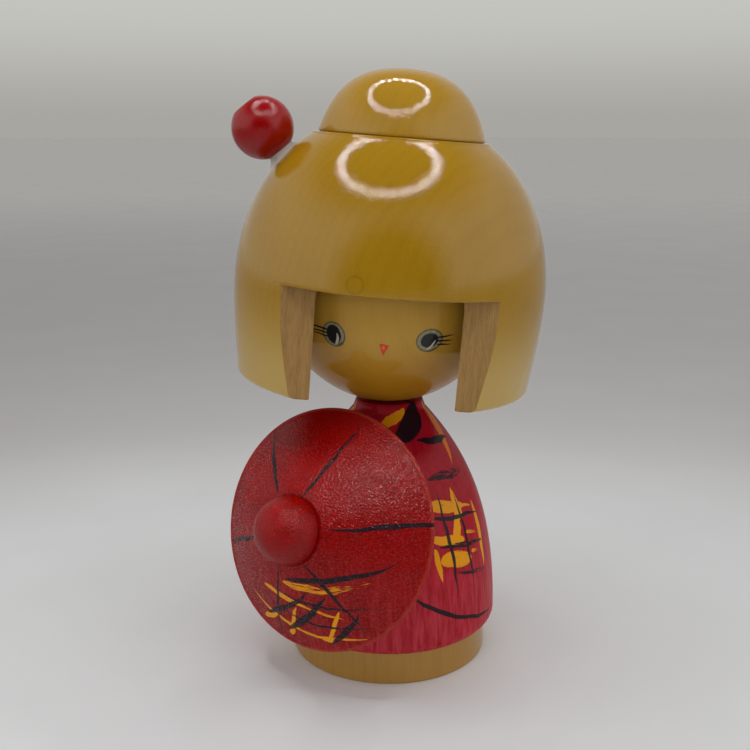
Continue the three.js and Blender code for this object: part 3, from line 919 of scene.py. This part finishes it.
HEAD = Matrix.Translation(BALL_CENTRE * MM)
HAIR = HEAD @ Matrix.Rotation(HEAD_TILT, 4, "Y")
PIN_TURN = Matrix.Rotation(math.radians(PIN_AZIMUTH), 4, "Z")
PIN = HAIR @ PIN_TURN @ Matrix.Rotation(math.radians(PIN_ELEVATION - 90), 4, "Y")
PARASOL_TURN = Matrix.Rotation(PARASOL_YAW, 4, "Z") @ Matrix.Rotation(PARASOL_TILT, 4, "X")


def parasol_frame():
    """The parasol's turned frame, with its origin where the stick's axis leaves the doll's."""
    low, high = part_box("parasol_stick")
    out = PARASOL_TURN.to_3x3() @ Vector((0, 0, 1))
    middle = (low + high) / 2
    height = middle.z - out.z * middle.x / out.x
    return Matrix.Translation((0, 0, height)) @ PARASOL_TURN


PARASOL = parasol_frame()


def reach(node, matrix):
    """Lowest and highest local Z of a CAD node in a turned frame, in millimetres."""
    inverse = matrix.inverted()
    heights = [(inverse @ v.co).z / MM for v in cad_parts[node].data.vertices]
    return min(heights), max(heights)


RIM_PLANE = reach("parasol_canopy", PARASOL)[0]
KNOB_BASE = reach("parasol_knob", PARASOL)[0]
STICK_LOW, STICK_HIGH = reach("parasol_stick", PARASOL)
BEAD_LOW, BEAD_HIGH = reach("hairpin_bead", PIN)


# ---- pieces

def build_foot():
    wood = lacquered_wood("foot_varnish", (0.44, 0.235, 0.045), (0.34, 0.165, 0.02), 6.0, gloss=0.14)
    top = FOOT_HEIGHT + CLEARANCE
    outline = [(0, 0), (10, 0), (20, 0)]
    outline += arc((FOOT_RADIUS - FOOT_EDGE, FOOT_EDGE), FOOT_EDGE, -90, 0, steps=6)
    outline += [(FOOT_RADIUS, h) for h in np.linspace(2 * FOOT_EDGE, top - 0.2, 8)]
    outline += [(FOOT_RADIUS - 0.2, top), (15, top), (0, top)]
    turned_piece(
        "foot_disc", outline, 192, body="body", slot="foot_wood", replaces=["foot"], materials=[wood],
    )


def body_outline():
    """The kimono's outside: a rounded lower edge, the swelling side and the flat neck."""
    bottom = FOOT_HEIGHT + CLEARANCE
    side = bottom + BODY_EDGE_HEIGHT
    height = SHOULDER_TOP - side
    outline = [(0, bottom), (12, bottom)]
    outline += ellipse((BODY_RADIUS - BODY_EDGE, side), BODY_EDGE, BODY_EDGE_HEIGHT, -90, 0, steps=12)
    outline += cubic(
        (BODY_RADIUS, side),
        (BODY_RADIUS - 0.3, side + 0.423 * height),
        (SHOULDER_RADIUS + 0.7275 * (BODY_RADIUS - SHOULDER_RADIUS), side + 0.7194 * height),
        (SHOULDER_RADIUS, SHOULDER_TOP),
        steps=90,
    )
    outline += [(NECK_RADIUS + NECK_EDGE, NECK_TOP - 0.9), (NECK_RADIUS + 0.06, NECK_TOP - 0.3)]
    outline += arc((NECK_RADIUS - NECK_EDGE, NECK_TOP - NECK_EDGE), NECK_EDGE, 0, 90, steps=4)
    return outline + [(6, NECK_TOP), (0, NECK_TOP)]


def drill_stick_hole(piece):
    """Bores the hole for the parasol's stick."""
    past_skin = 60
    bit = [(0, STICK_LOW), (STICK_HOLE, STICK_LOW), (STICK_HOLE, past_skin), (0, past_skin)]
    points, faces = lathe(bit, 48)
    tool = new_object("drill", new_mesh("drill", points, faces, PARASOL))
    hole = piece.modifiers.new("stick_hole", "BOOLEAN")
    hole.operation = "DIFFERENCE"
    hole.solver = "EXACT"
    hole.object = tool
    graph = bpy.context.evaluated_depsgraph_get()
    cut = bpy.data.meshes.new_from_object(piece.evaluated_get(graph))
    piece.modifiers.clear()
    piece.data = cut
    cut.set_sharp_from_angle(angle=SHARP_ANGLE)
    bpy.data.objects.remove(tool)


def build_body():
    piece = turned_piece(
        "kimono_body", body_outline(), 192, body="body", slot="body_lacquer", replaces=["body"],
        materials=[body_material()],
    )
    drill_stick_hole(piece)


def build_face():
    lowest = math.degrees(math.asin(-BALL_SEAT_DEPTH / BALL_RADIUS))
    outline = [(0, -BALL_SEAT_DEPTH)] + arc((0, 0), BALL_RADIUS, lowest, 90, steps=110)
    outline[-1] = (0, BALL_RADIUS)
    turned_piece(
        "face_ball_painted", outline, 192, matrix=HEAD, body="head", slot="face_wood",
        replaces=["face_ball"], materials=[face_material()],
    )


def build_hair():
    lacquer = lacquered_wood(
        "hair_lacquer", (0.39, 0.212, 0.008), (0.32, 0.165, 0.004), 1.0, HAIR,
        knot=(-12.0, 6.2, 2.4), hem_tint=(0.52, 0.345, 0.09),
    )
    sawn = bare_wood("hair_sawn_wood", (0.43, 0.245, 0.074), (0.22, 0.113, 0.03), 1.0, HAIR)
    cap = HairCap()
    new_piece(
        "hair_cap_lacquered", cap.points, cap.faces, matrix=HAIR, body="head", slot="hair_wood",
        replaces=["hair_cap"], materials=[lacquer, sawn], which=cap.which,
    )


def build_bun():
    seat = CROWN + BUN_EDGE
    foot = CROWN + CLEARANCE
    outline = [(0, CROWN), (14, CROWN)]
    outline += arc((BUN_RADIUS - BUN_EDGE, seat), BUN_EDGE, -90, -8, steps=6)
    outline += cubic(
        (BUN_RADIUS - 0.02, seat),
        (BUN_RADIUS * 0.863, foot + BUN_HEIGHT * 0.581),
        (BUN_RADIUS * 0.633, foot + BUN_HEIGHT),
        (0, foot + BUN_HEIGHT),
        steps=80,
    )
    wood = lacquered_wood("bun_lacquer", (0.42, 0.235, 0.018), (0.35, 0.185, 0.01), 4.0, HAIR)
    turned_piece(
        "hair_bun_lacquered", outline, 160, matrix=HAIR, body="head", slot="hair_wood",
        replaces=["hair_bun"], materials=[wood],
    )


def build_bead():
    centre = (BEAD_LOW + BEAD_HIGH) / 2
    angle = math.degrees(math.acos(BEAD_FLAT / BEAD_RADIUS))
    top_edge = (BEAD_HOLE + BEAD_HOLE_EDGE, BEAD_HIGH - BEAD_HOLE_EDGE)
    outline = [(BEAD_HOLE, BEAD_LOW), (BEAD_HOLE + 0.2, BEAD_LOW)]
    outline += arc((0, centre), BEAD_RADIUS, -angle, angle, steps=60)
    outline += arc(top_edge, BEAD_HOLE_EDGE, 90, 180, steps=5)
    outline += [(BEAD_HOLE, h) for h in np.linspace(BEAD_HIGH - 1.0, BEAD_LOW + 0.5, 8)]
    lacquer = red_turning(
        "bead_lacquer", PIN, 7.0, (0.25, 0.0004, 0.0006), (0.33, 0.0006, 0.001),
        coat=0.8, coat_roughness=0.06, unevenness=1.76,
    )
    turned_piece(
        "hairpin_bead_gloss", outline, 96, closed=True, matrix=PIN, body="head",
        slot="bead_lacquer", replaces=["hairpin_bead"], materials=[lacquer],
    )


def surface_along_pin(x, y, outline):
    """The height in the pin's frame at which a line parallel to its axis leaves the hair."""
    to_hair = HAIR.inverted() @ PIN
    low, high = 30.0, 60.0
    for _ in range(40):
        middle = (low + high) / 2
        p = to_hair @ (Vector((x, y, middle)) * MM) / MM
        inside = p.z < CROWN and math.hypot(p.x, p.y) < np.interp(p.z, outline[:, 1], outline[:, 0])
        low, high = (middle, high) if inside else (low, middle)
    return low


def glue_rows(shell, sides):
    """The glue's lumpy outside, from the foot that spreads on the hair up to the bead."""
    hair = hair_outline()
    top = BEAD_LOW + 0.35
    rows = []
    for share in np.linspace(0, 1, 16):
        points = []
        for k in range(sides):
            turn = 2 * math.pi * k / sides
            lump = 1 + 0.10 * math.sin(2 * turn + 0.7) + 0.06 * math.sin(3 * turn + 2.1)
            radius = GLUE_NECK + GLUE_SPREAD * lump * (1 - share) ** 2.2
            x, y = radius * math.cos(turn), radius * math.sin(turn)
            foot = surface_along_pin(x, y, hair) - 0.02
            points.append((x, y, foot + (top - foot) * share))
        rows.append(shell.row(points))
    return rows


def build_glue():
    sides = 72
    shell = Shell()
    outside = glue_rows(shell, sides)
    inside = [shell.row(circle(GLUE_HOLE, h, sides)) for h in (BEAD_LOW + 0.3, BEAD_LOW - 2.2)]
    shell.skin(outside + inside + [outside[0]], 0, closed=True)
    new_piece(
        "hairpin_glue_collar", shell.points, shell.faces, matrix=PIN, body="head",
        slot="clear_glue", replaces=["hairpin_glue"], materials=[glue_material()],
    )


def build_canopy():
    half = RIM_THICKNESS / 2
    lip = RIM_RADIUS - half
    seat = KNOB_RADIUS + CLEARANCE
    apex = RIM_PLANE + CONE_RISE
    crease = 0.4
    low = np.array([lip, RIM_PLANE + RIM_THICKNESS])
    high = np.array([seat, apex])
    handles = [tuple(low + (high - low) * s + np.array([0, 1.0])) for s in (0.33, 0.67)]
    shares = np.linspace(STICK_HOLE / lip, 1, 26)
    outline = [(lip * s, RIM_PLANE + DISH_DEPTH * (1 - s * s)) for s in shares]
    outline += arc((lip, RIM_PLANE + half), half, -90, 90, steps=10)
    outline += cubic(tuple(low), *handles, tuple(high), steps=60)
    outline += arc((seat - crease, apex - crease), crease, 60, 90, steps=3)
    outline += [(5, apex), (STICK_HOLE, apex)]
    turned_piece(
        "parasol_canopy_painted", outline, 192, closed=True, matrix=PARASOL, body="parasol_top",
        slot="parasol_lacquer", replaces=["parasol_canopy"], materials=[canopy_material()],
    )


def build_knob():
    base = KNOB_BASE - CLEARANCE
    dome = KNOB_BASE + KNOB_FOOT
    edge = 0.3
    outline = [(0, base), (4, base)]
    outline += arc((KNOB_RADIUS - 1.0, base + edge), edge, -90, -20, steps=4)
    outline += cubic(
        (KNOB_RADIUS - 0.7, base + 0.3),
        (KNOB_RADIUS - 0.2, base + 0.6),
        (KNOB_RADIUS, dome - 0.5),
        (KNOB_RADIUS, dome),
        steps=8,
    )
    outline += arc((0, dome), KNOB_RADIUS, 0, 90, steps=40)[1:]
    outline[-1] = (0, dome + KNOB_RADIUS)
    lacquer = red_turning(
        "knob_lacquer", PARASOL, 8.0, (0.21, 0.0006, 0.0005), (0.30, 0.001, 0.001),
        coat=0.5, coat_roughness=0.08, unevenness=5.72,
    )
    turned_piece(
        "parasol_knob_satin", outline, 112, matrix=PARASOL, body="parasol_top",
        slot="knob_lacquer", replaces=["parasol_knob"], materials=[lacquer],
    )


def build_stick():
    edge = 0.3
    wood = bare_wood(
        "parasol_stick_wood", (0.68, 0.47, 0.25), (0.45, 0.27, 0.12), 9.0, PARASOL, sawn=False,
    )
    outline = [(0, STICK_LOW)] + arc((STICK_RADIUS - edge, STICK_LOW + edge), edge, -90, 0, steps=3)
    outline += [(STICK_RADIUS, h) for h in np.linspace(STICK_LOW + 1, STICK_HIGH - 1, 16)]
    outline += [(STICK_RADIUS, STICK_HIGH), (0, STICK_HIGH)]
    turned_piece(
        "parasol_stick_turned", outline, 64, matrix=PARASOL, body="parasol_stick",
        slot="plain_wood", replaces=["parasol_stick"], materials=[wood],
    )


def dress_hidden_nodes():
    """The dowels and the pin's stick keep their CAD shape under plain wood."""
    wood = bare_wood("dowel_wood", (0.7, 0.5, 0.28), (0.48, 0.3, 0.14), 10.0, sawn=False)
    for name in ("neck_dowel", "crown_dowel", "hairpin_stick"):
        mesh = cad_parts[name].data
        mesh.materials.clear()
        mesh.materials.append(wood)


# ---- surroundings, placed in metres

def stage_material():
    """A pale matte floor, brightest in the pool of light round the doll and far behind it."""
    paint = Paint("pale_floor")
    x, y, _ = paint.split(paint.place)
    away = paint.vector("LENGTH", paint.join(paint.times(x, 0.55), y))
    # Painted light: the floor is lighter towards +X.
    side = paint.remap(x, -500.0, 500.0)
    middle = paint.mix(side, (0.71, 0.69, 0.685), (0.81, 0.795, 0.785))
    color = paint.mix(paint.remap(away, 95.0, 240.0), (0.91, 0.925, 0.94), middle)
    color = paint.mix(paint.remap(away, 350.0, 2200.0), color, (0.96, 0.945, 0.91))
    mottled = paint.remap(paint.noise(paint.place, 60), 0.3, 0.7, 0.0, 0.06)
    color = paint.mix(mottled, color, (0.5, 0.47, 0.46))
    grain = paint.noise(paint.place, 1.2)
    return paint.finish(color, 0.75, paint.relief(grain, 0.02), Specular_IOR_Level=0.2)


def build_stage():
    radius, sides = 14.0, 96
    mesh = bpy.data.meshes.new("floor")
    mesh.from_pydata(circle(radius, 0, sides), [], [range(sides)])
    mesh.materials.append(stage_material())
    new_object("floor", mesh)


def build_world():
    """A light tent: bright sides, a dark roof, and an opening that is dim towards the viewer."""
    world = bpy.data.worlds.new("light_tent")
    bpy.context.scene.world = world
    world.use_nodes = True
    graph = Graph(world.node_tree)
    toward = graph.split(graph.node("TexCoord", {}).outputs["Generated"])

    def blend(axis, low, high, a, b):
        return graph.mix(graph.remap(toward[axis], low, high), a, b)

    walls = blend("Y", -0.2, 0.8, (1.0, 1.0, 1.0), (0.52, 0.52, 0.51))
    roof = blend("Z", 0.50, 0.86, walls, (0.12, 0.118, 0.115))
    tent = blend("Y", -0.90, -0.62, (0.05, 0.047, 0.044), roof)
    backdrop = blend("Z", 0.0, 0.11, (0.39, 0.38, 0.355), (0.55, 0.55, 0.52))
    seen = graph.node("LightPath", {}).outputs["Is Camera Ray"]
    background = graph.node("Background", {"Color": graph.mix(seen, tent, backdrop), "Strength": 1.0})
    graph.node("OutputWorld", {"Surface": background.outputs[0]})


def new_lamp(name, shape, size, energy, place):
    data = bpy.data.lights.new(name, "AREA")
    data.shape = shape
    data.size = size
    data.energy = energy
    lamp = new_object(name, data)
    lamp.location = place
    return lamp


def build_ring_light():
    """A ring of small lamps above and in front of the doll, seen as rings in its gloss."""
    centre = Vector((-0.008, -0.05, 0.331))
    for k, place in enumerate(circle(0.112, 0, 36)):
        lamp = new_lamp(f"ring_{k:02d}", "DISK", 0.009, 0.0128, centre + Vector(place))
        lamp.data.color = (1.0, 0.99, 0.97)


def build_front_fill():
    """A broad soft lamp behind the camera, without a reflection of its own."""
    lamp = new_lamp("front_fill", "SQUARE", 0.5, 1.25, (0.05, -0.95, 0.22))
    lamp.rotation_euler = (math.radians(82), 0, 0)
    lamp.visible_glossy = False


def build_parasol_glint():
    """A lamp that only makes the parasol's gloss sparkle."""
    lamp = new_lamp("parasol_glint", "DISK", 0.13, 0.32, (0.05, -0.25, 0.33))
    aim = Vector((0.01, -0.035, 0.06)) - lamp.location
    lamp.rotation_euler = aim.to_track_quat("-Z", "Y").to_euler()
    lamp.visible_diffuse = False
    parasol = bpy.data.collections.new("parasol_gloss")
    for name in ("parasol_canopy_painted", "parasol_knob_satin"):
        parasol.objects.link(bpy.data.objects[name])
    lamp.light_linking.receiver_collection = parasol


def build_camera():
    data = bpy.data.cameras.new("camera")
    data.lens = 50.11
    data.sensor_width = 36
    data.clip_start = 0.01
    camera = new_object("camera", data)
    camera.location = (-0.0002, -0.28029, 0.14531)
    camera.rotation_euler = (math.radians(90 - 13.377), 0, math.radians(0.765))
    bpy.context.scene.camera = camera


build_camera()
build_foot()
build_body()
build_face()
build_hair()
build_bun()
build_bead()
build_glue()
build_canopy()
build_knob()
build_stick()
dress_hidden_nodes()
build_stage()
build_world()
build_ring_light()
build_front_fill()
build_parasol_glint()
bpy.context.scene.view_settings.view_transform = "Standard"
